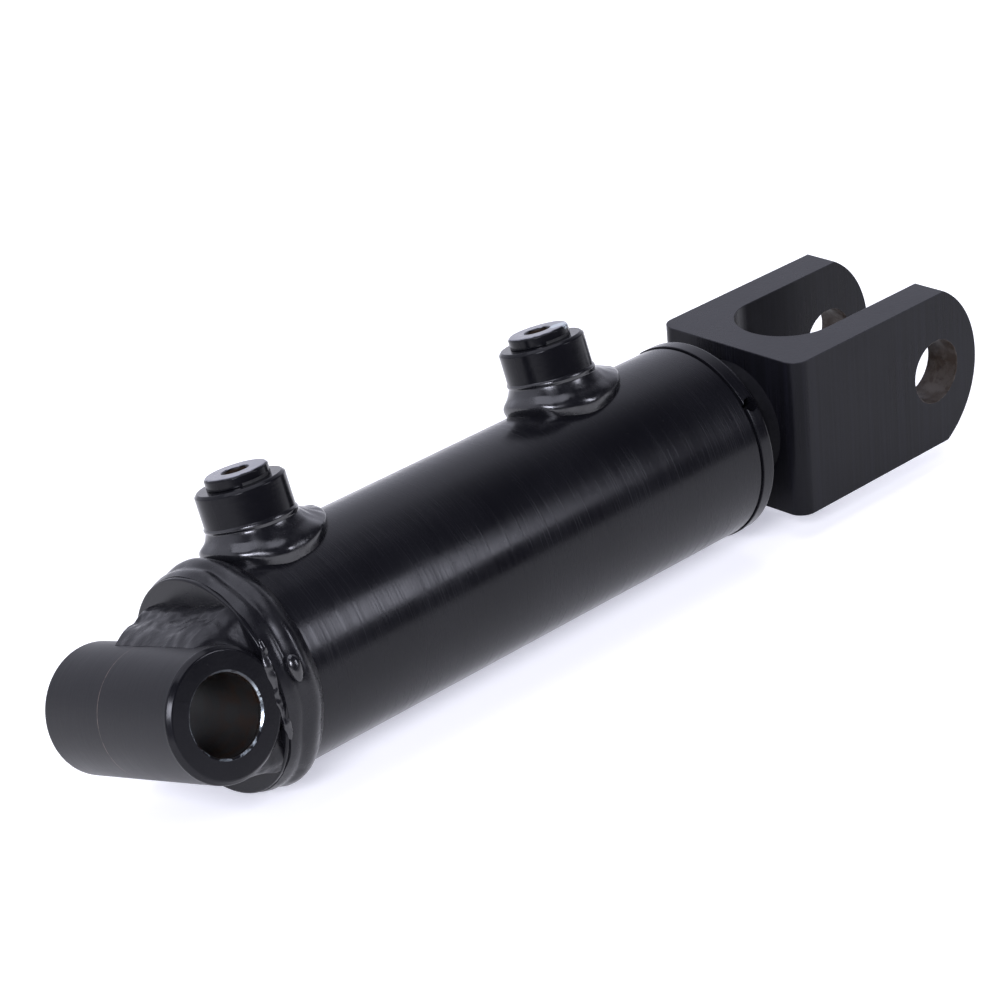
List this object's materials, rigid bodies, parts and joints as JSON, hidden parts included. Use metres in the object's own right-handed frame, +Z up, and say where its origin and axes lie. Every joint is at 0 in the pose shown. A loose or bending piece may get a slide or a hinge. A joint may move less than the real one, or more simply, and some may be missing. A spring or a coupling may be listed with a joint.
{
  "type": "hydraulic cylinder",
  "caption": "Double-acting hydraulic cylinder with a cross-tube eye at the base, plugged hose ports and a fork clevis on the rod.",
  "frame": {"origin": "on the surface the cylinder lies on, under the middle of the bounding box", "axes": "+X along the cylinder from the eye to the clevis, +Z up, square to the clevis fork; the barrel's ports lean 15.5 degrees from +Z towards +Y"},
  "size_m": [0.3218, 0.067, 0.0838],
  "materials": {
    "barrel_paint": "semi-gloss black paint over a turned tube",
    "eye_paint": "satin black paint, gloss on the end faces",
    "boss_paint": "gloss black paint",
    "plug_paint": "satin black paint",
    "clevis_paint": "satin black paint over milled plate",
    "weld_paint": "thick gloss black paint over weld bead",
    "rod_chrome": "ground hard chrome",
    "bare_steel": "turned, oiled",
    "black_rubber": "matte",
    "polyurethane": "moulded, satin",
    "bearing_resin": "fabric-filled resin, matte"
  },
  "bodies": {
    "barrel": {"barrel_tube": "barrel_paint", "base_cap": "barrel_paint", "cross_tube": "eye_paint", "base_girth_weld": "weld_paint", "cross_tube_weld_upper": "weld_paint", "cross_tube_weld_lower": "weld_paint", "base_port_boss": "boss_paint", "rod_port_boss": "boss_paint", "base_port_weld": "weld_paint", "rod_port_weld": "weld_paint", "base_port_plug": "plug_paint", "rod_port_plug": "plug_paint", "base_plug_seal": "black_rubber", "rod_plug_seal": "black_rubber", "gland": "barrel_paint", "gland_o_ring": "black_rubber", "gland_backup_ring": "bearing_resin", "gland_wear_ring": "bearing_resin", "rod_seal": "polyurethane", "rod_wiper": "black_rubber"},
    "piston": {"piston": "bare_steel", "piston_seal": "polyurethane", "piston_wear_ring_rear": "bearing_resin", "piston_wear_ring_front": "bearing_resin"},
    "rod": {"piston_rod": "rod_chrome", "rod_nut": "bare_steel", "piston_o_ring": "black_rubber", "clevis": "clevis_paint", "clevis_weld": "weld_paint"}
  },
  "joints": [
    {"name": "rod_slide", "type": "slide", "parent": "barrel", "child": "piston", "axis": [1, 0, 0], "range_m": [0, 0.08]},
    {"name": "rod_turn", "type": "hinge", "parent": "piston", "child": "rod", "pos_m": [0.0781, 0, 0.033], "axis": [1, 0, 0], "continuous": true}
  ]
}
